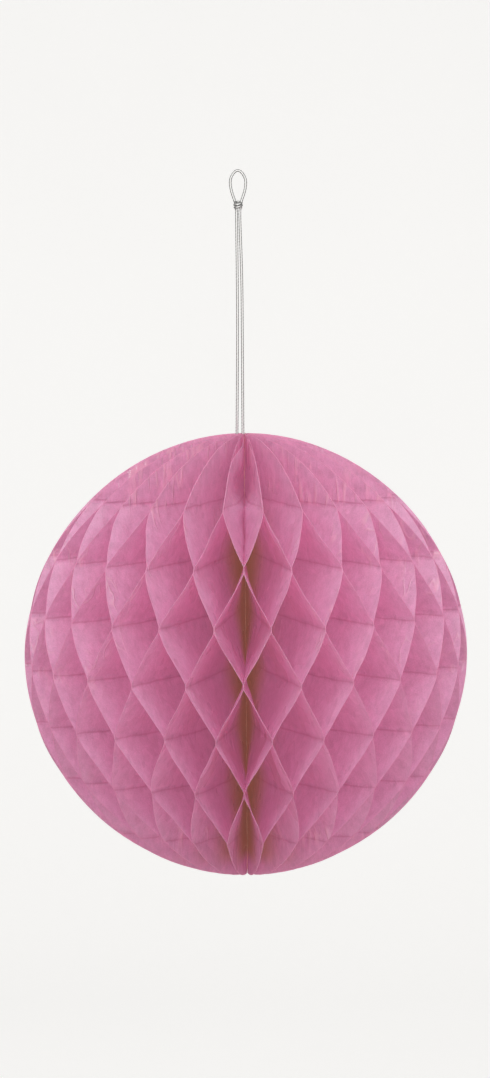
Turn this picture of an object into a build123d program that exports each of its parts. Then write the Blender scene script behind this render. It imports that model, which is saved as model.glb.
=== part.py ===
from build123d import *
import math
import os

# Paper honeycomb ball, opened and hanging. Millimetres, +Z up along the spine, origin at the
# middle of the ball. The two cover cards meet back to back in the half plane X = 0, Y > 0.

# Overall sizes
ball_diameter = 203.2        # across the opened ball
sheet_count = 50             # half-disc tissue sheets round the spine

# Tissue sheets
sheet_thickness = 0.2        # a stand-in, since real tissue is near 0.03
sheet_gap = 0.15             # between neighbours at a glue line
sheet_edge_clearance = 0.3   # from the stitches to the sheets' straight edges

# Glue lines, horizontal and alternating from one joint to the next
glue_row_pitch = 25.15
glue_first_depth = 29.1      # from the top of the ball to the uppermost row
glue_last_margin = 15.0      # least height of the lowest row above the ball's bottom
glue_line_height = 2.4

# Cover cards
cover_thickness = 0.35
seam_gap = 0.2               # between the two cards where they are stuck together
closed_angle = 10.0          # wedge left between the cards when the ball is folded up
card_clearance = 0.1

# Adhesive strips between the cards
tape_width = 12.0
tape_height = 40.0
tape_clearance = 0.04        # to the card that peels away
tape_inset = 30.0            # from the rim on the equator to the strips
tape_spacing = 70.0          # middle to middle, up the card

# Spine and the stitches that the moving card turns on
spine_radius = 1.1
spine_end_inset = 4.0        # below the top of the ball, and above its bottom
spine_head_clearance = 0.2   # round the wider head, to the sheets
spine_head_height = 3.0
stitch_clearance = 0.1
stitch_wall = 0.4
stitch_height = 5.0
stitch_spacing = 60.0        # the middle one is at the ball's middle
stitch_end_gap = 0.5         # above and below a stitch, in the fixed card's notch

# Hanging loop, measured from the top of the ball
cord_diameter = 1.3
loop_knot_height = 104.0
loop_knot_wall = 0.5         # of knot outside the two strands
loop_knot_length = 5.0
loop_strand_gap = 0.2        # between the strands in the knot

ball_radius = ball_diameter / 2
sheet_pitch_angle = 360.0 / sheet_count
half_pitch = math.radians(sheet_pitch_angle / 2)
glue_row_top = ball_radius - glue_first_depth
glue_row_count = 1 + int((glue_row_top + ball_radius - glue_last_margin) / glue_row_pitch)
card_face = seam_gap / 2 + cover_thickness
moving_card_start = (2 * card_face + card_clearance) / math.sin(math.radians(closed_angle))
cut_margin = 1.0             # how far cutting shapes run past what they cut

# Half the room a sheet takes up at a glue line, with its share of the cards' thickness
stand_off = (sheet_thickness + sheet_gap) / 2 + card_face * math.cos(half_pitch) / sheet_count
stitch_outer_radius = spine_radius + stitch_clearance + stitch_wall
crowded_radius = stand_off / math.sin(half_pitch)
sheet_inner_radius = max(stitch_outer_radius, crowded_radius) + sheet_edge_clearance
spine_head_radius = sheet_inner_radius - spine_head_clearance
stitch_levels = (stitch_spacing, 0.0, -stitch_spacing)
strand_offset = (cord_diameter + loop_strand_gap) / 2
loop_knot_radius = strand_offset + cord_diameter / 2 + loop_knot_wall
loop_middle = -2.05          # X of the knot and the eye

# Route of the loop in the plane Y = 0, as X and height above the ball's top: up one strand,
# round the eye above the knot and down the other strand.
loop_route = [
    (0.0, -spine_end_inset),
    (loop_middle + strand_offset, loop_knot_height),
    (1.4, 111.2),
    (1.6, 116.6),
    (-2.0, 120.8),
    (-5.6, 116.9),
    (-5.5, 111.4),
    (loop_middle - strand_offset, loop_knot_height),
    (-2.2, -spine_end_inset),
]


def glue_rows():
    """Heights of the glue lines, from the top down."""
    return [glue_row_top - n * glue_row_pitch for n in range(glue_row_count)]


def fold_profile(first_side):
    """Side (+1 or -1) and height along a sheet, from the bottom up. It lies against one
    neighbour at each glue line, and keeps to that side beyond the outermost lines."""
    end = ball_radius + cut_margin
    rows = [(z, first_side * (-1) ** n) for n, z in enumerate(glue_rows())][::-1]
    points = [(rows[0][1], -end)]
    for z, side in rows:
        points += [(side, z - glue_line_height / 2), (side, z + glue_line_height / 2)]
    points = [points[0]] + points[2:-1]
    return points + [(rows[-1][1], end)]


def sheet_section(profile, x, reach):
    """Closed outline of a folded sheet's section at the distance x from the spine."""
    near = [Vector(x, reach * side - sheet_thickness / 2, z) for side, z in profile]
    far = [Vector(x, reach * side + sheet_thickness / 2, z) for side, z in profile[::-1]]
    return Wire.make_polygon(near + far, close=True)


def folded_sheet(first_side):
    """One opened sheet along +X, bowed to both neighbours in turn between the glue lines."""
    profile = fold_profile(first_side)
    outer = ball_radius + cut_margin
    sections = [
        sheet_section(profile, x, x * math.tan(half_pitch) - stand_off / math.cos(half_pitch))
        for x in (sheet_inner_radius, outer)
    ]
    return Solid.make_loft(sections, ruled=True) & (Rot(Z=180) * Sphere(ball_radius))


def place_sheet(sheet, number):
    """Turn a sheet to its place round the spine. The cards take up card_face on each side of
    the seam, so each sheet is also moved sideways by its share of that."""
    azimuth = 90 + (number - 0.5) * sheet_pitch_angle
    sideways = card_face * (1 - (2 * number - 1) / sheet_count)
    return Rot(Z=azimuth) * Pos(0, sideways, 0) * sheet


def half_disc(inner, x_low, thickness):
    """A half-disc plate in the seam's half plane, from inner to the ball's radius."""
    window = Pos(inner + ball_radius, 0) * Rectangle(2 * ball_radius, 2 * ball_radius)
    outline = Plane.YZ.offset(x_low) * (Circle(ball_radius) & window)
    return extrude(outline, amount=thickness)


def make_spine():
    """The bound core, with a wider head that the hanging loop stands on."""
    top = ball_radius - spine_end_inset
    core = Cylinder(spine_radius, 2 * top)
    head = Pos(0, 0, top - spine_head_height / 2) * Cylinder(spine_head_radius, spine_head_height)
    return core + head


def make_fixed_cover(spine):
    """The card that is fast to the spine, notched where the stitches turn."""
    card = half_disc(spine_radius / 2, -card_face, cover_thickness) - spine
    strand_room = Cylinder(spine_radius, 2 * ball_radius)
    depth = moving_card_start + card_clearance
    height = stitch_height + 2 * stitch_end_gap
    for level in stitch_levels:
        card -= Pos(0, depth / 2, level) * Box(4 * card_face, depth, height)
    return card - strand_room


def make_moving_cover():
    """The card that swings round the spine to open and close the ball."""
    return half_disc(moving_card_start, seam_gap / 2, cover_thickness)


def make_stitch(level):
    """A ring round the spine with a tab that reaches the moving card's edge."""
    inner = spine_radius + stitch_clearance
    outer = inner + stitch_wall
    ring = Cylinder(outer, stitch_height) - Cylinder(inner, stitch_height)
    tab_start = inner + stitch_wall / 2
    tab = Pos(seam_gap / 2 + cover_thickness / 2, (tab_start + moving_card_start) / 2, 0) * Box(
        cover_thickness, moving_card_start - tab_start, stitch_height
    )
    return Pos(0, 0, level) * (ring + tab)


def make_tape(side):
    """An adhesive strip on the fixed card, above (+1) or below (-1) the equator."""
    thickness = seam_gap - tape_clearance
    middle = -seam_gap / 2 + thickness / 2
    y = ball_radius - tape_inset - tape_width / 2
    return Pos(middle, y, side * tape_spacing / 2) * Box(thickness, tape_width, tape_height)


def corner_radii(points):
    """The largest even arc for each corner of the loop's route."""
    radii = []
    for before, corner, after in zip(points, points[1:], points[2:]):
        turn = math.radians((corner - before).get_angle(after - corner))
        shorter = min((corner - before).length, (after - corner).length)
        radii.append(0.45 * shorter / math.tan(turn / 2))
    return radii


def make_loop():
    """The hanging cord as one tube along its route."""
    points = [Vector(x, 0, ball_radius + height) for x, height in loop_route]
    radii = corner_radii(points)
    path = FilletPolyline(*points, radius=radii)
    print("loop: length %.1f, radii" % path.length, [round(r, 1) for r in radii])
    section = Plane(origin=path @ 0, z_dir=path % 0) * Circle(cord_diameter / 2)
    return sweep(section, path=path)


def make_knot(loop):
    """The knot that gathers both strands under the eye."""
    half = loop_knot_length / 2
    outline = [(0, -half), (loop_knot_radius * 0.7, -half), (loop_knot_radius, 0)]
    outline += [(loop_knot_radius * 0.7, half), (0, half)]
    barrel = revolve(Plane.XZ * make_face(Polyline(*outline, close=True)), Axis.Z)
    return Pos(loop_middle, 0, ball_radius + loop_knot_height) * barrel - loop


def build():
    spine = make_spine()
    loop = make_loop()
    pieces = {
        "spine": spine,
        "cover_fixed": make_fixed_cover(spine),
        "cover_moving": make_moving_cover(),
        "tape_upper": make_tape(+1),
        "tape_lower": make_tape(-1),
        "hang_loop": loop,
        "loop_knot": make_knot(loop),
    }
    for n, level in enumerate(stitch_levels, 1):
        pieces["stitch_%d" % n] = make_stitch(level)
    # odd sheets start against the joint before them at the top row, even ones after
    folded = {1: folded_sheet(-1), 0: folded_sheet(+1)}
    for number in range(1, sheet_count + 1):
        pieces["sheet_%02d" % number] = place_sheet(folded[number % 2], number)
    return pieces


os.makedirs("parts", exist_ok=True)
for node, piece in build().items():
    export_step(piece, "parts/%s.step" % node)
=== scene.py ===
"""Paper honeycomb ball: tissue half-discs glued in staggered lines, opened round a bound spine."""

import math

import bpy
import numpy as np
from mathutils import Matrix, Vector


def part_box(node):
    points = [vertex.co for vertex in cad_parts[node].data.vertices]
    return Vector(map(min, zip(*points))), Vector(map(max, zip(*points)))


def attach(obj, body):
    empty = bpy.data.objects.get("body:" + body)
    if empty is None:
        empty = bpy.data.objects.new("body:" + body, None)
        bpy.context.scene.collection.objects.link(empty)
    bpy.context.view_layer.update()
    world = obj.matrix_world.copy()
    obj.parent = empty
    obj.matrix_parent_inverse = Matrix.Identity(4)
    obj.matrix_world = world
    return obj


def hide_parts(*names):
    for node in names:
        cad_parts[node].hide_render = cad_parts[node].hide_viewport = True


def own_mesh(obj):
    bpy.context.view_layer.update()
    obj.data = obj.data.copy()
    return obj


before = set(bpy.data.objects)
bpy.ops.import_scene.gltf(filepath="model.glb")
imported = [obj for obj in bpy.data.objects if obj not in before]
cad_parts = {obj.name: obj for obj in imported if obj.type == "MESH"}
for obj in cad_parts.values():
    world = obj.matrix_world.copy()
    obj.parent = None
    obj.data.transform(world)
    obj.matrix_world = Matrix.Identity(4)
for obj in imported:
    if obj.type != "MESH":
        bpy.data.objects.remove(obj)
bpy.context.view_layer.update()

bl_info = {
    "name": "Honeycomb Ball",
    "version": (1, 0, 0),
    "blender": (4, 5, 0),
    "location": "3D View > Sidebar > Honeycomb",
    "description": "Builds a hanging tissue-paper honeycomb ball round its frame",
    "category": "Object",
}

MM = 0.001
SHEETS = sum(1 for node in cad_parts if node.startswith("sheet_"))
CARD_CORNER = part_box("cover_moving")[1]
BALL_RADIUS = CARD_CORNER[2]      # up to the cards' highest point, which the tissue is cut to
CARD_FACE = CARD_CORNER[0]        # outer face of each cover card, from the seam
PITCH_ANGLE = 2 * math.pi / SHEETS

# How much each of the two foremost sheets bulges close to the pole.
TOP_BULGES = {SHEETS // 2: 0.95, SHEETS // 2 + 1: 0.2}

WANDER_SEED = 7         # how far the joints sit from their even places
SHEET_SEED = 100        # a sheet's own waves: its number is added
JOINT_SEED = 500        # waves that two sheets share at a joint: the joint's number is added

# The loop's route in the plane Y = 0: X and height above the top of the ball, millimetres.
LOOP_ROUTE = (
    (-0.60, -2.2),
    (-0.55, 40.0),
    (-0.55, 72.0),
    (-1.30, 96.0),
    (-1.30, 104.0),
    (1.4, 111.2),
    (1.6, 116.6),
    (-2.0, 120.8),
    (-5.6, 116.9),
    (-5.5, 111.4),
    (-2.80, 104.0),
    (-2.80, 96.0),
    (-2.65, 72.0),
    (-2.70, 40.0),
    (-3.35, -2.2),
)


class BallSizes(bpy.types.PropertyGroup):
    """Sizes of the soft pieces, in the scene's metres."""

    tissue_thickness: bpy.props.FloatProperty(
        name="Tissue Thickness", description="Thickness of one tissue sheet with its nap",
        default=0.12 * MM, min=0.0, unit="LENGTH", precision=5)
    inner_radius: bpy.props.FloatProperty(
        name="Inner Radius", description="From the spine's axis to the sheets' straight edges",
        default=1.75 * MM, min=0.0, unit="LENGTH", precision=5)
    well_radius: bpy.props.FloatProperty(
        name="Well Radius", description="Radius of the small well at the top that the cord leaves by",
        default=4.15 * MM, min=0.0, unit="LENGTH", precision=5)
    glue_gap: bpy.props.FloatProperty(
        name="Glue Gap", description="Between two sheets where a line of glue joins them",
        default=0.03 * MM, min=0.0, unit="LENGTH", precision=5)
    row_pitch: bpy.props.FloatProperty(
        name="Glue Row Pitch", description="Between glue lines up a sheet",
        default=25.6 * MM, min=0.0, unit="LENGTH", precision=5)
    first_row: bpy.props.FloatProperty(
        name="First Glue Row", description="Height of the uppermost glue line on a flat sheet",
        default=73.5 * MM, unit="LENGTH", precision=5)
    rows: bpy.props.IntProperty(
        name="Glue Rows", description="Glue lines on a sheet, both faces together", default=7)
    glue_height: bpy.props.FloatProperty(
        name="Glue Line Height", description="Height of the strip that a glue line holds",
        default=2.4 * MM, min=0.0, unit="LENGTH", precision=5)
    pull_in: bpy.props.FloatProperty(
        name="Pull In", description="How far bowing shortens a sheet's rim, as a share",
        default=0.035, min=0.0, max=0.2)
    bend_softness: bpy.props.FloatProperty(
        name="Bend Softness", description="0 for straight walls, 1 for fully rounded ones",
        default=0.13, min=0.0, max=1.0)
    unevenness: bpy.props.FloatProperty(
        name="Unevenness", description="How far joints wander at the rim",
        default=0.45 * MM, min=0.0, unit="LENGTH", precision=5)
    wrinkle: bpy.props.FloatProperty(
        name="Wrinkles", description="Height of the soft waves in a free wall",
        default=0.35 * MM, min=0.0, unit="LENGTH", precision=5)
    cord_diameter: bpy.props.FloatProperty(
        name="Cord Diameter", description="Diameter of the twisted hanging cord",
        default=1.3 * MM, min=0.0, unit="LENGTH", precision=5)
    cord_lay: bpy.props.FloatProperty(
        name="Cord Lay", description="Length of one full turn of the cord's plies",
        default=4.2 * MM, min=0.0, unit="LENGTH", precision=5)
    floor_depth: bpy.props.FloatProperty(
        name="Floor Depth", description="From the middle of the ball down to the floor",
        default=0.55, min=0.0, unit="LENGTH")


def colour_prop(name, text, default):
    return bpy.props.FloatVectorProperty(
        name=name, description=text, subtype="COLOR", size=3, min=0.0, max=1.0, default=default)


class BallColours(bpy.types.PropertyGroup):
    """Colours of the paper, glue, cord and stage, and of the painted highlights on the tissue's cut edges
    and creases.
    """

    tissue: colour_prop("Tissue", "Light that the tissue throws back", (0.77, 0.55, 0.745))
    tissue_glow: colour_prop("Tissue Glow", "Light that comes through the tissue", (0.95, 0.475, 0.65))
    # Painted highlight: the cut edge drawn paler, as where it catches the light.
    cut_edge_highlight: colour_prop("Cut Edge", "Painted highlight along the tissue's cut edge", (0.86, 0.52, 0.72))
    # Painted highlight: the sheen on the crests of the creases, laid on as colour.
    crease_highlight: colour_prop("Crease", "Painted highlight on the crests of the tissue's creases", (0.97, 0.80, 0.88))
    glue_line: colour_prop("Glue Line", "Line of glue seen through the tissue", (0.42, 0.13, 0.26))
    # Also laid on the tissue well out into the cells, as painted shade of their brownish depths.
    glue: colour_prop("Glue", "Dried glue near the spine", (0.74, 0.45, 0.33))
    card: colour_prop("Card", "Cover cards", (0.66, 0.24, 0.41))
    card_core: colour_prop("Card Core", "Bare board at the cards' cut edges", (0.70, 0.52, 0.50))
    tape: colour_prop("Tape", "Adhesive strips", (0.80, 0.76, 0.66))
    thread: colour_prop("Thread", "Binding thread", (0.72, 0.50, 0.52))
    cord: colour_prop("Cord", "White hanging cord", (0.92, 0.92, 0.90))
    stage: colour_prop("Stage", "Floor and backdrop", (0.62, 0.615, 0.605))


def sizes():
    return bpy.context.scene.ball_sizes


def colours():
    return bpy.context.scene.ball_colours


# ---------------------------------------------------------------- node helpers


def new_group(name, inputs, outputs):
    """An empty shader node group, with its input and output nodes."""
    group = bpy.data.node_groups.new(name, "ShaderNodeTree")
    for label, kind, value in inputs:
        socket = group.interface.new_socket(label, in_out="INPUT", socket_type=kind)
        if value is not None:
            socket.default_value = value
    for label, kind in outputs:
        group.interface.new_socket(label, in_out="OUTPUT", socket_type=kind)
    return group, group.nodes.new("NodeGroupInput"), group.nodes.new("NodeGroupOutput")


def feed(tree, socket, value):
    """Link a socket to another one, or set it to a number or a colour."""
    if isinstance(value, bpy.types.NodeSocket):
        tree.links.new(value, socket)
    elif isinstance(value, (int, float)):
        socket.default_value = value
    else:
        socket.default_value = (*value, 1.0)


def math_node(tree, operation, *values):
    node = tree.nodes.new("ShaderNodeMath")
    node.operation = operation
    for socket, value in zip(node.inputs, values):
        feed(tree, socket, value)
    return node.outputs[0]


def times(tree, first, second):
    return math_node(tree, "MULTIPLY", first, second)


def radius_node(tree, first, second):
    """How far a place is from the middle, from its two coordinates."""
    squares = math_node(tree, "ADD", times(tree, first, first), times(tree, second, second))
    return math_node(tree, "SQRT", squares)


def noise_node(tree, vector, scale, detail=3.0, roughness=0.55, distortion=0.0):
    node = tree.nodes.new("ShaderNodeTexNoise")
    node.inputs["Scale"].default_value = scale
    node.inputs["Detail"].default_value = detail
    node.inputs["Roughness"].default_value = roughness
    node.inputs["Distortion"].default_value = distortion
    tree.links.new(vector, node.inputs["Vector"])
    return node.outputs["Fac"]


def stretch_node(tree, vector, scale):
    node = tree.nodes.new("ShaderNodeMapping")
    node.inputs["Scale"].default_value = scale
    tree.links.new(vector, node.inputs["Vector"])
    return node.outputs["Vector"]


def ramp_node(tree, value, low, high, out_low=0.0, out_high=1.0):
    """Smooth step of value from low to high."""
    node = tree.nodes.new("ShaderNodeMapRange")
    node.interpolation_type = "SMOOTHSTEP"
    tree.links.new(value, node.inputs["Value"])
    for name, number in (("From Min", low), ("From Max", high), ("To Min", out_low), ("To Max", out_high)):
        node.inputs[name].default_value = number
    return node.outputs["Result"]


def mix_colour(tree, factor, first, second, blend="MIX"):
    node = tree.nodes.new("ShaderNodeMix")
    node.data_type = "RGBA"
    node.blend_type = blend
    for index, value in ((0, factor), (6, first), (7, second)):
        feed(tree, node.inputs[index], value)
    return node.outputs[2]


def split_node(tree, vector):
    """The X, Y and Z of a vector."""
    node = tree.nodes.new("ShaderNodeSeparateXYZ")
    tree.links.new(vector, node.inputs[0])
    return node.outputs


def mix_shaders(tree, factor, first, second):
    """Show the first shader where factor is 0 and the second where it is 1."""
    mix = tree.nodes.new("ShaderNodeMixShader")
    for socket, value in zip(mix.inputs, (factor, first.outputs[0], second.outputs[0])):
        feed(tree, socket, value)
    tree.links.new(mix.outputs[0], tree.nodes["Material Output"].inputs["Surface"])


def fibre_group():
    """Paper pulp: long fibres, cloudy formation and a fine tooth."""
    found = bpy.data.node_groups.get("Paper Fibres")
    if found:
        return found
    group, start, end = new_group(
        "Paper Fibres",
        [("Vector", "NodeSocketVector", None), ("Contrast", "NodeSocketFloat", 0.5)],
        [("Tone", "NodeSocketFloat"), ("Height", "NodeSocketFloat")],
    )
    vector, contrast = start.outputs["Vector"], start.outputs["Contrast"]
    cloudy = noise_node(group, vector, 260.0, 4.0, 0.6)
    fibres = noise_node(group, stretch_node(group, vector, (900.0, 900.0, 260.0)), 1.0, 3.0, 0.6, 0.8)
    tooth = noise_node(group, vector, 1900.0, 2.0)
    both = math_node(group, "ADD", times(group, cloudy, 0.55), times(group, fibres, 0.45))
    centred = math_node(group, "SUBTRACT", both, 0.5)
    grain = math_node(group, "MULTIPLY_ADD", math_node(group, "SUBTRACT", tooth, 0.5), 0.6, centred)
    tone = math_node(group, "MULTIPLY_ADD", grain, contrast, 1.0)
    height = math_node(group, "ADD", times(group, tooth, 0.35), fibres)
    group.links.new(tone, end.inputs["Tone"])
    group.links.new(height, end.inputs["Height"])
    return group


def crease_group():
    """Short creases that run up a sheet, soft waves between them and patches of gloss, and a painted
    sheen: pale streaks along the creases' crests.
    """
    group, start, end = new_group(
        "Tissue Creases and Painted Sheen",
        [("Vector", "NodeSocketVector", None), ("Where", "NodeSocketFloat", 0.0)],
        [("Height", "NodeSocketFloat"), ("Streaks", "NodeSocketFloat"), ("Roughness", "NodeSocketFloat")],
    )
    vector = start.outputs["Vector"]
    folds = noise_node(group, stretch_node(group, vector, (170.0, 170.0, 20.0)), 1.0, 1.0, 0.4, 0.5)
    ridge = math_node(group, "ABSOLUTE", math_node(group, "SUBTRACT", folds, 0.5))
    thin = ramp_node(group, ridge, 0.0, 0.06, 1.0, 0.0)
    patchy = ramp_node(group, noise_node(group, vector, 42.0, 1.0), 0.44, 0.54)
    # Painted sheen: pale streaks on the crease crests, also raised a little in the bump.
    scaled = times(group, times(group, thin, patchy), start.outputs["Where"])
    fine, broad = noise_node(group, vector, 300.0, 3.0), noise_node(group, vector, 85.0, 3.0)
    soft = math_node(group, "MULTIPLY_ADD", fine, 0.4, broad)
    rough = ramp_node(group, noise_node(group, vector, 36.0, 2.0), 0.44, 0.58, 0.44, 0.15)
    group.links.new(scaled, end.inputs["Streaks"])
    group.links.new(rough, end.inputs["Roughness"])
    group.links.new(math_node(group, "MULTIPLY_ADD", scaled, 0.5, soft), end.inputs["Height"])
    return group


def add_group(tree, group, **links):
    node = tree.nodes.new("ShaderNodeGroup")
    node.node_tree = group
    for name, value in links.items():
        feed(tree, node.inputs[name], value)
    return node


def new_material(name):
    """A material with its Principled node, its tree and object coordinates."""
    material = bpy.data.materials.new(name)
    material.use_nodes = True
    tree = material.node_tree
    shader = tree.nodes["Principled BSDF"]
    where = tree.nodes.new("ShaderNodeTexCoord").outputs["Object"]
    return material, tree, shader, where


def add_bump(tree, height, shader, distance, strength=1.0):
    bump = tree.nodes.new("ShaderNodeBump")
    bump.inputs["Distance"].default_value = distance
    bump.inputs["Strength"].default_value = strength
    tree.links.new(height, bump.inputs["Height"])
    tree.links.new(bump.outputs["Normal"], shader.inputs["Normal"])


def flat_places(tree):
    """Where a point is on the flat sheet, in metres: out from the spine, up, and from the middle."""
    flat = tree.nodes.new("ShaderNodeUVMap")
    flat.uv_map = "flat"
    across, along, _ = split_node(tree, flat.outputs["UV"])
    span = 2 * BALL_RADIUS
    out = times(tree, across, span)
    up = times(tree, math_node(tree, "SUBTRACT", along, 0.5), span)
    return out, up, radius_node(tree, out, up)


def glue_line_mask(tree, up, where):
    """1 on every glue line, which wavers a little on its way out."""
    size = sizes()
    line_width, waver = 0.22 * MM, 1.6 * MM
    wavy = math_node(tree, "MULTIPLY_ADD", noise_node(tree, where, 110.0, 2.0), waver, up)
    height = math_node(tree, "SUBTRACT", wavy, waver / 2)
    lowest = size.first_row - (size.rows - 1) * size.row_pitch
    steps = math_node(tree, "DIVIDE", math_node(tree, "SUBTRACT", height, lowest), size.row_pitch)
    nearest = math_node(tree, "ROUND", steps)
    inside = math_node(tree, "MINIMUM", math_node(tree, "MAXIMUM", nearest, 0.0), size.rows - 1.0)
    away = math_node(tree, "ABSOLUTE", math_node(tree, "SUBTRACT", steps, inside))
    sharp, soft = line_width / size.row_pitch, 2.2 * line_width / size.row_pitch
    return ramp_node(tree, away, sharp, soft, 1.0, 0.0)


def glue_and_deep_shade_mask(tree, out, up):
    """1 near the spine, fading out 46 mm into a sheet, and less by the poles: the spine's glue soaked into
    the sheet, and painted shade, the brownish light deep in the cells.
    """
    from_spine = ramp_node(tree, out, 8 * MM, 46 * MM, 1.0, 0.0)
    below_top = ramp_node(tree, up, 50 * MM, 74 * MM, 1.0, 0.0)
    above_bottom = ramp_node(tree, up, -96 * MM, -88 * MM)
    return times(tree, from_spine, times(tree, below_top, above_bottom))


def crease_and_sheen_mask(tree, up, radius):
    """1 where handling has creased a sheet and painted sheen lies on its creases: in a band toward each
    pole, and along its upper rim, more toward the top, where the light falls.
    """
    level = math_node(tree, "ABSOLUTE", up)
    into_band = ramp_node(tree, level, 71 * MM, 75 * MM)
    out_of_band = ramp_node(tree, level, 77 * MM, 88 * MM, 1.0, 0.0)
    near_rim = ramp_node(tree, radius, BALL_RADIUS - 11 * MM, BALL_RADIUS - 3 * MM, 0.0, 0.9)
    upper = ramp_node(tree, up, -30 * MM, 30 * MM, 0.25, 1.0)
    return math_node(tree, "MAXIMUM", times(tree, into_band, out_of_band), times(tree, near_rim, upper))


def tissue_material():
    """Dyed tissue: light comes through it. Its cut edge carries a painted highlight, its creases a painted
    sheen, and its core the brown of glue, spread wide as painted shade of the deep cells.
    """
    paint = colours()
    material, tree, shader, where = new_material("dyed_tissue")
    out, up, radius = flat_places(tree)
    # Painted highlight: the outer half millimetre of each sheet, drawn paler like a lit cut edge.
    edge = ramp_node(tree, radius, BALL_RADIUS - 0.45 * MM, BALL_RADIUS - 0.15 * MM)
    # The spine's glue, and painted shade: brown deep in the cells.
    soaked = glue_and_deep_shade_mask(tree, out, up)
    fibres = add_group(tree, fibre_group(), Vector=where, Contrast=1.1)
    creases = add_group(tree, crease_group(), Vector=where, Where=crease_and_sheen_mask(tree, up, radius))

    colour = mix_colour(tree, 1.0, paint.tissue, fibres.outputs["Tone"], "MULTIPLY")
    for mask, strength, layer in (
            (glue_line_mask(tree, up, where), 0.38, paint.glue_line),
            # Painted highlight: pale sheen streaks on the creases.
            (creases.outputs["Streaks"], 0.6, paint.crease_highlight),
            # Painted highlight on the cut edge.
            (edge, 0.6, paint.cut_edge_highlight),
            # Glue brown, spread wide as painted shade.
            (soaked, 0.85, paint.glue)):
        colour = mix_colour(tree, times(tree, mask, strength), colour, layer)
    tree.links.new(colour, shader.inputs["Base Color"])
    tree.links.new(creases.outputs["Roughness"], shader.inputs["Roughness"])
    shader.inputs["Specular IOR Level"].default_value = 0.75
    pulp = times(tree, fibres.outputs["Height"], 0.10)
    add_bump(tree, math_node(tree, "ADD", pulp, creases.outputs["Height"]), shader, 0.7 * MM, 0.8)

    through = tree.nodes.new("ShaderNodeBsdfTranslucent")
    # The light through the tissue is browned there too: painted shade.
    glow = mix_colour(tree, times(tree, soaked, 0.9), paint.tissue_glow, paint.glue)
    tree.links.new(glow, through.inputs["Color"])
    mix_shaders(tree, 0.5, shader, through)
    return material


def card_material():
    """Dyed board, rubbed pale round its cut edge."""
    paint = colours()
    material, tree, shader, where = new_material("cover_card")
    _, across, up = split_node(tree, where)
    radius = radius_node(tree, across, up)
    edge = ramp_node(tree, radius, BALL_RADIUS - 0.9 * MM, BALL_RADIUS - 0.1 * MM)
    fibres = add_group(tree, fibre_group(), Vector=where, Contrast=0.30)
    tone = mix_colour(tree, 1.0, paint.card, fibres.outputs["Tone"], "MULTIPLY")
    tree.links.new(mix_colour(tree, edge, tone, paint.card_core), shader.inputs["Base Color"])
    shader.inputs["Roughness"].default_value = 0.62
    add_bump(tree, fibres.outputs["Height"], shader, 0.04 * MM)
    return material


def fibrous_material(name, colour, contrast, roughness):
    """One colour with the paper's fibres in it."""
    material, tree, shader, where = new_material(name)
    fibres = add_group(tree, fibre_group(), Vector=where, Contrast=contrast)
    tone = mix_colour(tree, 1.0, colour, fibres.outputs["Tone"], "MULTIPLY")
    tree.links.new(tone, shader.inputs["Base Color"])
    shader.inputs["Roughness"].default_value = roughness
    add_bump(tree, fibres.outputs["Height"], shader, 0.05 * MM)
    return material


def cord_material():
    """White cotton: fuzzy and matt, greyer down between the plies and at its edges: painted shade, by how
    far the surface turns from the camera.
    """
    material, tree, shader, where = new_material("cotton_cord")
    fuzz = noise_node(tree, stretch_node(tree, where, (5200.0, 5200.0, 1400.0)), 1.0, 3.0, 0.6)
    turned = tree.nodes.new("ShaderNodeLayerWeight")
    turned.inputs["Blend"].default_value = 0.5
    # Painted shade: the colour greys where the surface turns away from the camera.
    shade = ramp_node(tree, turned.outputs["Facing"], 0.02, 0.18, 1.0, 0.22)
    tone = times(tree, ramp_node(tree, fuzz, 0.3, 0.7, 0.88, 1.06), shade)
    tree.links.new(mix_colour(tree, 1.0, colours().cord, tone, "MULTIPLY"), shader.inputs["Base Color"])
    shader.inputs["Roughness"].default_value = 0.85
    shader.inputs["Sheen Weight"].default_value = 0.25
    add_bump(tree, fuzz, shader, 0.06 * MM)
    return material


def stage_material():
    """Even, pale and matt. The camera sees it lit through, so it can be bright behind the ball
    without throwing much light up at it. It is clear from behind."""
    material, tree, shader, where = new_material("pale_stage")
    cloud = noise_node(tree, where, 3.0, 2.0)
    tone = ramp_node(tree, cloud, 0.3, 0.7, 0.99, 1.0)
    tree.links.new(mix_colour(tree, 1.0, colours().stage, tone, "MULTIPLY"), shader.inputs["Base Color"])
    shader.inputs["Roughness"].default_value = 0.95
    shader.inputs["Specular IOR Level"].default_value = 0.0
    shader.inputs["Emission Color"].default_value = (1.0, 0.995, 0.985, 1.0)
    seen = tree.nodes.new("ShaderNodeLightPath").outputs["Is Camera Ray"]
    tree.links.new(times(tree, seen, 0.50), shader.inputs["Emission Strength"])
    behind = tree.nodes.new("ShaderNodeNewGeometry").outputs["Backfacing"]
    mix_shaders(tree, behind, shader, tree.nodes.new("ShaderNodeBsdfTransparent"))
    return material


# ---------------------------------------------------------------- mesh helpers


def deselect_all():
    if bpy.context.object and bpy.context.object.mode != "OBJECT":
        bpy.ops.object.mode_set(mode="OBJECT")
    bpy.ops.object.select_all(action="DESELECT")


def activate(piece):
    deselect_all()
    piece.select_set(True)
    bpy.context.view_layer.objects.active = piece


def select_edges(piece, wanted):
    """Enter edit mode with only those edges selected whose two ends pass a test."""
    activate(piece)
    bpy.ops.object.mode_set(mode="EDIT")
    bpy.ops.mesh.select_mode(type="EDGE")
    bpy.ops.mesh.select_all(action="DESELECT")
    bpy.ops.object.mode_set(mode="OBJECT")
    for edge in piece.data.edges:
        first, second = (piece.data.vertices[v].co for v in edge.vertices)
        edge.select = wanted(first, second)
    bpy.ops.object.mode_set(mode="EDIT")


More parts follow.
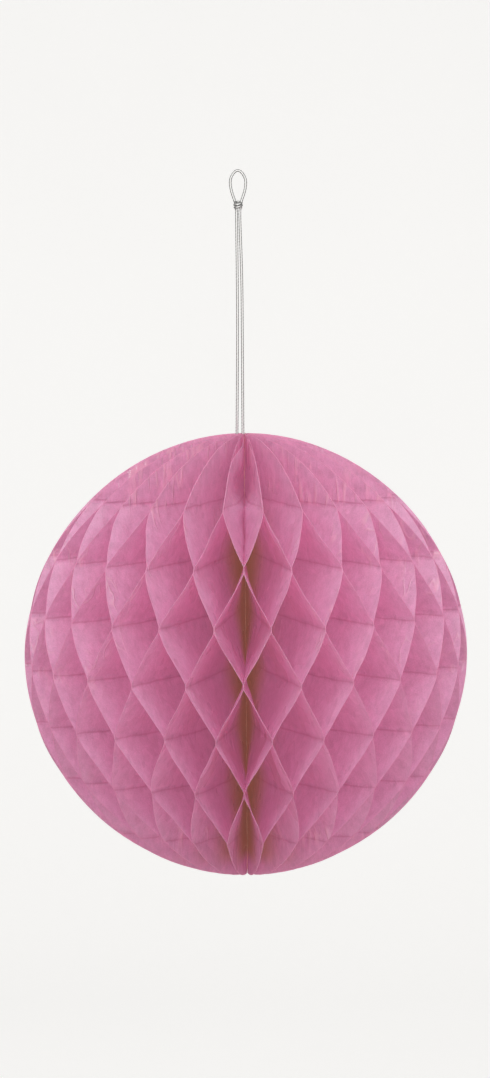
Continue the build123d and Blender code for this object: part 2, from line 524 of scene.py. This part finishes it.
def apply_modifier(piece, kind, **settings):
    activate(piece)
    modifier = piece.modifiers.new(kind.title(), kind)
    for name, value in settings.items():
        setattr(modifier, name, value)
    bpy.ops.object.modifier_apply(modifier=modifier.name)


def dress(piece, material):
    piece.data.materials.clear()
    piece.data.materials.append(material)


def dress_node(node, material):
    """A better material for a CAD node that is shown as it is."""
    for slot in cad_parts[node].material_slots:
        slot.material = material


# ---------------------------------------------------------------- tissue sheets


def smooth(share):
    """Smooth step of a share, held between 0 and 1."""
    share = np.clip(share, 0, 1)
    return share * share * (3 - 2 * share)


def row_heights():
    """Heights of the glue lines on a flat sheet, from the top down."""
    size = sizes()
    return [size.first_row - n * size.row_pitch for n in range(size.rows)]


def level_heights():
    """Heights of the mesh's rings up a flat sheet: close together round each glue line."""
    size = sizes()
    rows = row_heights()[::-1]
    half = size.glue_height / 2
    between = np.array([0.0, 0.03, 0.08, 0.16, 0.27, 0.39, 0.5, 0.61, 0.73, 0.84, 0.92, 0.97, 1.0])
    rings_above, rings_below = 14, 12
    levels = []
    for low, high in zip(rows, rows[1:]):
        levels += [low] + list(low + half + between * (high - low - 2 * half))
    levels.append(rows[-1])
    top = np.linspace(math.asin(rows[-1] / BALL_RADIUS), math.pi / 2, rings_above + 1)[1:]
    bottom = np.linspace(-math.pi / 2, math.asin(rows[0] / BALL_RADIUS), rings_below + 1)[:-1]
    # The last ring at each end stops just short of the pole, so that it keeps a little width.
    bottom[0] = -math.acos(1.02 * size.inner_radius / BALL_RADIUS)
    top[-1] = math.acos(1.02 * size.well_radius / BALL_RADIUS)
    return np.concatenate([BALL_RADIUS * np.sin(bottom), levels, BALL_RADIUS * np.sin(top)])


def straight_edge(up):
    """How far out the straight edge of a flat sheet is: a small way from the spine's axis."""
    return np.full_like(up, sizes().inner_radius)


def notched_edge(up):
    """The same for a sheet beside the cord, cut back at its top to make the well."""
    size = sizes()
    well_bottom, well_slope = 96.6 * MM, 1.4 * MM
    rise = smooth((up - well_bottom) / well_slope)
    return size.inner_radius + (size.well_radius - size.inner_radius) * rise


def beside_cord(number):
    """Whether a sheet is near -X, the side that the cord leaves by."""
    cord_side, spread = 180, 20       # degrees
    return abs(math.degrees(sheet_azimuth(number)) - cord_side) <= spread


def outward(up, inner, share):
    """How far out points are: share 0 on a sheet's straight edge and 1 on its round rim."""
    return inner + (np.sqrt(BALL_RADIUS**2 - up**2) - inner) * share


def row_weights(levels):
    """How much each glue row (columns, from the top) holds each level (rows of the result)."""
    size, rows = sizes(), np.array(row_heights())
    half, weights = size.glue_height / 2, np.zeros((len(levels), len(rows)))
    for line, z in enumerate(levels):
        if z >= rows[0]:
            weights[line, 0] = 1.0
        elif z <= rows[-1]:
            weights[line, -1] = 1.0
        else:
            row = int(np.searchsorted(-rows, -z, side="right")) - 1
            row = min(max(row, 0), len(rows) - 2)
            part = (rows[row] - half - z) / (size.row_pitch - 2 * half)
            part = min(max(part, 0.0), 1.0)
            share = (1 - size.bend_softness) * part + size.bend_softness * smooth(part)
            weights[line, row], weights[line, row + 1] = 1 - share, share
    return weights


def soft_waves(rng, out, up, longest, shortest, count):
    """Smooth random waves over a sheet, about -1 to 1."""
    total = np.zeros_like(out)
    for _ in range(count):
        length = math.exp(rng.uniform(math.log(shortest), math.log(longest)))
        turn, phase = rng.uniform(0, math.pi), rng.uniform(0, 2 * math.pi)
        wave = (math.cos(turn) * out + math.sin(turn) * up) * 2 * math.pi / length
        total += np.cos(wave + phase)
    return total / math.sqrt(count)


def joint_wander():
    """How far each joint's glue lines sit from their even places: sideways (radians) and up
    (metres), by joint and row. The two joints against the cards stay straight."""
    size, rng = sizes(), np.random.default_rng(WANDER_SEED)
    shape = (SHEETS + 1, size.rows)
    turn = rng.normal(0, size.unevenness / BALL_RADIUS, shape)
    lift = rng.normal(0, 0.9 * size.unevenness, shape)
    turn[[0, -1]] = 0
    lift[[0, -1]] = 0
    return turn, lift


def front_pinch(out, up, top_bulge):
    """Where the two foremost sheets stay together: deep in the cell over their top joint, and
    again close to the pole, where one of them bulges."""
    stuck_height, height_fade = 30 * MM, 8 * MM
    stuck_depth, depth_at_joint, joint_fade, depth_fade = 40 * MM, 61 * MM, 5 * MM, 22 * MM
    bulge_start, bulge_depth = 82 * MM, 22 * MM
    over = up - row_heights()[1]
    reach = stuck_depth + depth_at_joint * np.exp(-np.maximum(over, 0) / joint_fade)
    stuck = smooth((stuck_height - over) / height_fade) * (over > 0)
    stuck = stuck * (1 - smooth((out - reach) / depth_fade))
    bulge = smooth((up - bulge_start) / height_fade) * (1 - smooth((out - bulge_depth) / depth_fade))
    return stuck + top_bulge * bulge


def glued_to(number):
    """For each glue row of a sheet, the side it is glued on and the number of that joint."""
    sides = np.array([1 if (number + row) % 2 == 0 else -1 for row in range(sizes().rows)])
    return sides, np.where(sides > 0, number, number - 1)


def wrinkles(number, joints, out, up, weights):
    """Soft waves across a sheet: its own between the glue lines, and the joints' at them."""
    free = 4 * np.prod(np.sort(weights, axis=1)[:, -2:], axis=1)[:, None]
    looseness = np.minimum(1.0, out / (30 * MM))
    own = soft_waves(np.random.default_rng(SHEET_SEED + number), out, up, 60 * MM, 14 * MM, 9)
    shared = np.zeros_like(out)
    for row, joint in enumerate(joints):
        wave = soft_waves(np.random.default_rng(JOINT_SEED + int(joint)), out, up, 50 * MM, 10 * MM, 7)
        on_card = joint in (0, SHEETS)
        shared += weights[:, row : row + 1] * wave * (0.0 if on_card else 0.35)
    return sizes().wrinkle * looseness * (own * free + shared * out / BALL_RADIUS)


def sheet_points(number, out, up, weights, wander):
    """Places of a sheet's points in its own frame: X out from the spine, Y sideways, Z up."""
    size, (turn, lift) = sizes(), wander
    sides, joints = glued_to(number)
    at_rows = range(size.rows)
    crowding = CARD_FACE * math.cos(PITCH_ANGLE / 2) / SHEETS
    stand_off = (size.tissue_thickness + size.glue_gap) / 2 + crowding
    reach = out * math.tan(PITCH_ANGLE / 2) - stand_off / math.cos(PITCH_ANGLE / 2)
    lean = (weights @ sides)[:, None]
    if number in TOP_BULGES:
        toward = 1 if number == SHEETS // 2 else -1
        lean = lean + (toward - lean) * front_pinch(out, up, TOP_BULGES[number])
    sideways = reach * lean + out * (weights @ turn[joints, at_rows])[:, None]
    sideways += wrinkles(number, joints, out, up, weights)
    pulled = (out / BALL_RADIUS) ** 2
    raised = (weights @ lift[joints, at_rows])[:, None] * pulled
    height = up * (1 - size.pull_in * pulled) + raised * np.cos(up / BALL_RADIUS * math.pi / 2)
    forward = np.sqrt(np.maximum(out**2 - sideways**2, 0))
    return np.stack([forward, sideways + stack_offset(number), height], axis=-1)


def flat_sheet_mesh(levels, columns):
    """A grid cut to a half-disc, with its flat shape as the UV map "flat"."""
    deselect_all()
    bpy.ops.mesh.primitive_grid_add(
        x_subdivisions=len(columns) - 1, y_subdivisions=len(levels) - 1, size=1.0, calc_uvs=True)
    sheet = bpy.context.object
    places = np.zeros(len(sheet.data.vertices) * 3)
    sheet.data.vertices.foreach_get("co", places)
    places = places.reshape(-1, 3)
    column = np.rint((places[:, 0] + 0.5) * (len(columns) - 1)).astype(int)
    level = np.rint((places[:, 1] + 0.5) * (len(levels) - 1)).astype(int)
    share, up = columns[column], levels[level]
    out = outward(up, straight_edge(up), share)
    uv = sheet.data.uv_layers[0]
    uv.name = "flat"
    corners = np.zeros(len(sheet.data.loops), dtype=int)
    sheet.data.loops.foreach_get("vertex_index", corners)
    span = 2 * BALL_RADIUS
    flat = np.stack([out / span, up / span + 0.5], axis=-1)[corners]
    uv.data.foreach_set("uv", flat.ravel())
    return sheet, level, share, up


def sheet_azimuth(number):
    """The way a sheet points in the open ball, from +X: sheet 1 is just past the seam at +Y."""
    return math.pi / 2 + (number - 0.5) * PITCH_ANGLE


def stack_offset(number):
    """How far a sheet's plane passes from the axis, which is its place in the closed stack."""
    return CARD_FACE * (1 - (2 * number - 1) / SHEETS)


def add_sheets():
    """One flat sheet, copied to each place round the spine and bent to the shape it has there."""
    material = tissue_material()
    levels = level_heights()
    # Shares of the way out to the rim, closer together at the spine and at the rim.
    columns = np.array([0, 0.03, 0.08, 0.15, 0.23, 0.31, 0.39, 0.47, 0.55, 0.63, 0.70, 0.77,
                        0.83, 0.89, 0.94, 0.975, 1.0])
    pattern, level, share, up = flat_sheet_mesh(levels, columns)
    weights, wander = row_weights(levels)[level], joint_wander()
    for number in range(1, SHEETS + 1):
        piece = pattern.copy()
        piece.data = pattern.data.copy()
        piece.name = piece.data.name = "tissue_%02d" % number
        bpy.context.collection.objects.link(piece)
        inner = notched_edge(up) if beside_cord(number) else straight_edge(up)
        out = outward(up, inner, share)
        places = sheet_points(number, out[:, None], up[:, None], weights, wander)[:, 0]
        azimuth = sheet_azimuth(number)
        turned = places @ np.array(Matrix.Rotation(azimuth, 3, "Z")).T
        piece.data.vertices.foreach_set("co", turned.ravel())
        piece.data.update()
        apply_modifier(piece, "SOLIDIFY", thickness=sizes().tissue_thickness, offset=0.0)
        bpy.ops.object.shade_smooth_by_angle(angle=math.radians(50))
        dress(piece, material)
        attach(piece, "leaf_%02d" % number)
        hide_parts("sheet_%02d" % number)
        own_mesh(piece)
    bpy.data.objects.remove(pattern)


# ---------------------------------------------------------------- hanging cord


def route_points():
    return [Vector((x * MM, 0, BALL_RADIUS + height * MM)) for x, height in LOOP_ROUTE]


def smooth_route(points):
    """Points along one smooth spline that the route's points guide."""
    name = "loop_route"
    curve = bpy.data.curves.new(name, "CURVE")
    curve.dimensions = "3D"
    curve.resolution_u = 24
    spline = curve.splines.new("NURBS")
    spline.points.add(len(points) - 1)
    for place, point in zip(points, spline.points):
        point.co = (*place, 1)
    spline.order_u = 3
    spline.use_endpoint_u = True
    carrier = bpy.data.objects.new(name, curve)
    bpy.context.collection.objects.link(carrier)
    bpy.context.view_layer.update()
    mesh = bpy.data.meshes.new_from_object(carrier)
    path = np.array([v.co for v in mesh.vertices])
    bpy.data.objects.remove(carrier)
    bpy.data.meshes.remove(mesh)
    return path


def even_steps(path, step):
    """Points at even steps along a line, and how far along it each one is."""
    runs = np.concatenate([[0], np.cumsum(np.linalg.norm(np.diff(path, axis=0), axis=1))])
    along = np.linspace(0, runs[-1], max(2, round(runs[-1] / step)))
    return np.stack([np.interp(along, runs, path[:, k]) for k in range(3)], axis=-1), along


def cross_directions(path):
    """Two directions square to a line near the XZ plane, at each of its points."""
    ahead = np.gradient(path, axis=0)
    ahead /= np.linalg.norm(ahead, axis=1)[:, None]
    side = np.cross(ahead, np.array([0.0, 1.0, 0.0]))
    side /= np.linalg.norm(side, axis=1)[:, None]
    return side, np.cross(side, ahead)


def tube_faces(rings, around):
    """A closed tube's faces: two round ends, and quads between one ring and the next."""
    faces = [tuple(reversed(range(around))), tuple(range((rings - 1) * around, rings * around))]
    for ring in range(rings - 1):
        a, b = ring * around, (ring + 1) * around
        faces += [(a + k, a + (k + 1) % around, b + (k + 1) % around, b + k) for k in range(around)]
    return faces


def twisted_cord(name, path, diameter, lay, plies=3, around=18):
    """A tube with as many lobes as the cord has plies, the lobes turning as it goes along."""
    rings_per_turn, groove = 9, 0.07
    path, along = even_steps(path, lay / rings_per_turn)
    side, upward = cross_directions(path)
    angles = np.linspace(0, 2 * math.pi, around, endpoint=False)
    twist = 2 * math.pi * along / lay
    lobes = 1 - groove + groove * np.cos(plies * (angles[None, :] - twist[:, None]))
    radius = diameter / 2 * lobes[..., None]
    ring = path[:, None] + radius * (
        np.cos(angles)[None, :, None] * side[:, None] + np.sin(angles)[None, :, None] * upward[:, None])
    mesh = bpy.data.meshes.new(name)
    mesh.from_pydata([tuple(p) for p in ring.reshape(-1, 3)], [], tube_faces(len(path), around))
    piece = bpy.data.objects.new(name, mesh)
    bpy.context.collection.objects.link(piece)
    activate(piece)
    bpy.ops.object.mode_set(mode="EDIT")
    bpy.ops.mesh.select_all(action="SELECT")
    bpy.ops.mesh.normals_make_consistent(inside=False)
    bpy.ops.object.mode_set(mode="OBJECT")
    bpy.ops.object.shade_smooth_by_angle(angle=math.radians(60))
    return piece


def add_cord():
    """The loop of cord, with its ends in the spine's head of glue, and its knot."""
    size = sizes()
    material = cord_material()
    path = smooth_route(route_points())
    cord = twisted_cord("hanging_cord", path, size.cord_diameter, size.cord_lay)
    dress(cord, material)
    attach(cord, "core")
    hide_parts("hang_loop")
    knot = add_knot(material)


def add_knot(material):
    """Tight turns of the cord round both strands, drawn close so that they press together."""
    size = sizes()
    low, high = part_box("loop_knot")
    middle, width, height = (low + high) / 2, high[0] - low[0], high[2] - low[2]
    turns, steps, swell, flatness, packing, slant = 2.6, 90, 0.16, 0.80, 0.62, 0.3 * MM
    inset, drawn_diameter = size.cord_diameter * 0.36, size.cord_diameter * 0.86
    drawn_lay = size.cord_lay * 0.8
    along = np.linspace(0, 1, steps)
    angle = 2 * math.pi * turns * along
    reach = (width / 2 - inset) * (1 + swell * np.sin(math.pi * along))
    coil = np.stack([
        middle[0] + reach * np.cos(angle),
        flatness * reach * np.sin(angle),
        middle[2] + (along - 0.5) * height * packing + slant * np.sin(angle + 0.7),
    ], axis=-1)
    knot = twisted_cord("cord_knot", coil, drawn_diameter, drawn_lay)
    dress(knot, material)
    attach(knot, "core")
    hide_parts("loop_knot")
    return knot


# ---------------------------------------------------------------- spine, cards and tape


def add_spine():
    """The bound core: a round of glue-soaked edges, ribbed by its winding thread, with a flat
    head of glue at its top that holds the cord's two ends."""
    ring_radius = -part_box("stitch_2")[0][1]
    radius, top = 0.62 * ring_radius, BALL_RADIUS - 1.7 * MM
    rib_turn, rib_depth = 2600, 0.07        # radians a metre, and a share of the radius
    head_height, head_radius, head_middle, head_flatness = 1.5 * MM, 2.35 * MM, -1.35 * MM, 0.5
    deselect_all()
    bpy.ops.mesh.primitive_cylinder_add(
        vertices=20, radius=radius, depth=2 * top, end_fill_type="NGON", location=(0, 0, 0))
    spine = bpy.context.object
    spine.name = spine.data.name = "bound_spine"
    select_edges(spine, lambda first, second: abs(first.z - second.z) > top)
    bpy.ops.mesh.subdivide(number_cuts=239)
    bpy.ops.object.mode_set(mode="OBJECT")
    for vertex in spine.data.vertices:
        around = math.atan2(vertex.co.y, vertex.co.x)
        wave = 1 + rib_depth * math.sin(vertex.co.z * rib_turn + around)
        vertex.co.x *= wave
        vertex.co.y *= wave
        if vertex.co.z > top - head_height:
            vertex.co.x = head_radius * vertex.co.x / radius + head_middle
            vertex.co.y *= head_flatness
    activate(spine)
    bpy.ops.object.shade_smooth_by_angle(angle=math.radians(50))
    dress(spine, fibrous_material("glued_spine", colours().glue, 0.5, 0.5))
    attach(spine, "core")
    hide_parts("spine")


# ---------------------------------------------------------------- stage


def backdrop_profile():
    """Y and Z from the front of the floor, round the bend, up to the top of the wall."""
    floor, front, wall, bend, wall_top, steps = -sizes().floor_depth, -6.0, 3.2, 1.2, 7.0, 16
    turns = [math.pi / 2 * step / steps for step in range(steps + 1)]
    rounded = [(wall - bend + bend * math.sin(turn), floor + bend * (1 - math.cos(turn)))
               for turn in turns]
    return [(front, floor), *rounded, (wall, wall_top)]


def add_backdrop():
    """A floor that curves up into a wall behind the ball."""
    width = 14.0
    front, back, *rest = backdrop_profile()
    deselect_all()
    bpy.ops.mesh.primitive_plane_add(size=width, location=(0, 0, 0))
    sweep = bpy.context.object
    sweep.name = "backdrop"
    for vertex in sweep.data.vertices:
        vertex.co.yz = front if vertex.co.y < 0 else back
    select_edges(sweep, lambda first, second: min(first.y, second.y) > 0)
    for (y, z), (next_y, next_z) in zip([back, *rest], rest):
        bpy.ops.mesh.extrude_edges_move(TRANSFORM_OT_translate={"value": (0, next_y - y, next_z - z)})
    bpy.ops.object.mode_set(mode="OBJECT")
    bpy.ops.object.shade_smooth()
    sweep.data.materials.append(stage_material())


def add_softbox(name, place, width, height, power, shadow):
    """A rectangle of light, turned to the middle of the ball."""
    light = bpy.data.lights.new(name, "AREA")
    light.use_shadow = shadow
    light.shape = "RECTANGLE"
    light.size, light.size_y, light.energy = width, height, power
    holder = bpy.data.objects.new(name, light)
    bpy.context.collection.objects.link(holder)
    holder.location = place
    holder.rotation_euler = (-Vector(place)).to_track_quat("-Z", "Y").to_euler()


def add_lights():
    """Even light from all round, a softbox above, and lights without shadow that reach the cells."""
    world = bpy.data.worlds.new("studio")
    bpy.context.scene.world = world
    world.use_nodes = True
    background = world.node_tree.nodes["Background"]
    background.inputs["Color"].default_value = (1.0, 0.995, 0.985, 1)
    background.inputs["Strength"].default_value = 0.66
    for name, place, width, height, power, shadow in (
            ("softbox_front", (-0.15, -2.2, 0.2), 0.4, 0.4, 6.3, False),
            ("softbox_top", (0.0, -1.3, 1.5), 2.0, 1.2, 14.0, True),
            ("fill_left", (-0.9, -0.42, 0.8), 0.6, 0.6, 1.7, False),
            ("fill_right", (0.9, -0.42, 0.8), 0.6, 0.6, 1.7, False),
            ("fill_top", (0.0, -1.0, 2.8), 1.0, 1.0, 4.6, False)):
        add_softbox(name, place, width, height, power, shadow)


def add_camera():
    """A little above the ball, looking down at it from about two metres away."""
    distance = 20 * BALL_RADIUS
    rise, aim_up, turn, roll = (math.radians(v) for v in (6.53, 1.49, 0.69, 0.41))
    camera = bpy.data.cameras.new("camera")
    camera.sensor_fit = "AUTO"
    camera.sensor_width = 36.0
    camera.lens = 147.5
    camera.clip_end = 60
    holder = bpy.data.objects.new("camera", camera)
    bpy.context.collection.objects.link(holder)
    holder.location = distance * Vector(
        (math.sin(turn) * math.cos(rise), -math.cos(turn) * math.cos(rise), math.sin(rise)))
    tilt = Matrix.Rotation(math.pi / 2 - rise + aim_up, 4, "X") @ Matrix.Rotation(-roll, 4, "Z")
    holder.rotation_euler = (Matrix.Rotation(turn, 4, "Z") @ tilt).to_euler()
    bpy.context.scene.camera = holder


# ---------------------------------------------------------------- operators


class HONEYCOMB_OT_stage(bpy.types.Operator):
    """Set up the camera, the soft lights and the pale backdrop"""

    bl_idname = "honeycomb.stage"
    bl_label = "Stage"

    def execute(self, context):
        context.scene.view_settings.view_transform = "Standard"
        add_camera()
        add_lights()
        add_backdrop()
        return {"FINISHED"}


class HONEYCOMB_OT_cord(bpy.types.Operator):
    """Twist the hanging cord along its route and tie its knot"""

    bl_idname = "honeycomb.cord"
    bl_label = "Hanging Cord"

    def execute(self, context):
        add_cord()
        return {"FINISHED"}


class HONEYCOMB_OT_spine(bpy.types.Operator):
    """Build the bound spine and dress its stitches"""

    bl_idname = "honeycomb.spine"
    bl_label = "Spine"

    def execute(self, context):
        add_spine()
        thread = fibrous_material("binding_thread", colours().thread, 0.4, 0.8)
        for node in ("stitch_1", "stitch_2", "stitch_3"):
            dress_node(node, thread)
        return {"FINISHED"}


class HONEYCOMB_OT_cards(bpy.types.Operator):
    """Dress the two cover cards and the adhesive strips between them"""

    bl_idname = "honeycomb.cards"
    bl_label = "Cover Cards"

    def execute(self, context):
        card = card_material()
        tape = fibrous_material("adhesive_strip", colours().tape, 0.2, 0.35)
        for node in ("cover_fixed", "cover_moving"):
            dress_node(node, card)
        for node in ("tape_upper", "tape_lower"):
            dress_node(node, tape)
        return {"FINISHED"}


class HONEYCOMB_OT_sheets(bpy.types.Operator):
    """Cut, glue and open the tissue sheets"""

    bl_idname = "honeycomb.sheets"
    bl_label = "Tissue Sheets"

    def execute(self, context):
        add_sheets()
        return {"FINISHED"}


class HONEYCOMB_PT_panel(bpy.types.Panel):
    """The ball's sizes, colours and building steps"""

    bl_idname = "HONEYCOMB_PT_panel"
    bl_label = "Honeycomb Ball"
    bl_space_type = "VIEW_3D"
    bl_region_type = "UI"
    bl_category = "Honeycomb"

    def draw(self, context):
        for step in STEPS:
            self.layout.operator(step.bl_idname)
        for group in (context.scene.ball_sizes, context.scene.ball_colours):
            box = self.layout.box()
            for name in group.bl_rna.properties.keys():
                if name not in ("rna_type", "name"):
                    box.prop(group, name)


STEPS = (
    HONEYCOMB_OT_stage,
    HONEYCOMB_OT_cord,
    HONEYCOMB_OT_spine,
    HONEYCOMB_OT_cards,
    HONEYCOMB_OT_sheets,
)
CLASSES = (BallSizes, BallColours, *STEPS, HONEYCOMB_PT_panel)


def register():
    for cls in CLASSES:
        bpy.utils.register_class(cls)
    bpy.types.Scene.ball_sizes = bpy.props.PointerProperty(type=BallSizes)
    bpy.types.Scene.ball_colours = bpy.props.PointerProperty(type=BallColours)


def unregister():
    del bpy.types.Scene.ball_colours
    del bpy.types.Scene.ball_sizes
    for cls in reversed(CLASSES):
        bpy.utils.unregister_class(cls)


def main():
    register()
    bpy.ops.honeycomb.stage()
    bpy.ops.honeycomb.cord()
    bpy.ops.honeycomb.spine()
    bpy.ops.honeycomb.cards()
    bpy.ops.honeycomb.sheets()


if __name__ == "__main__":
    main()
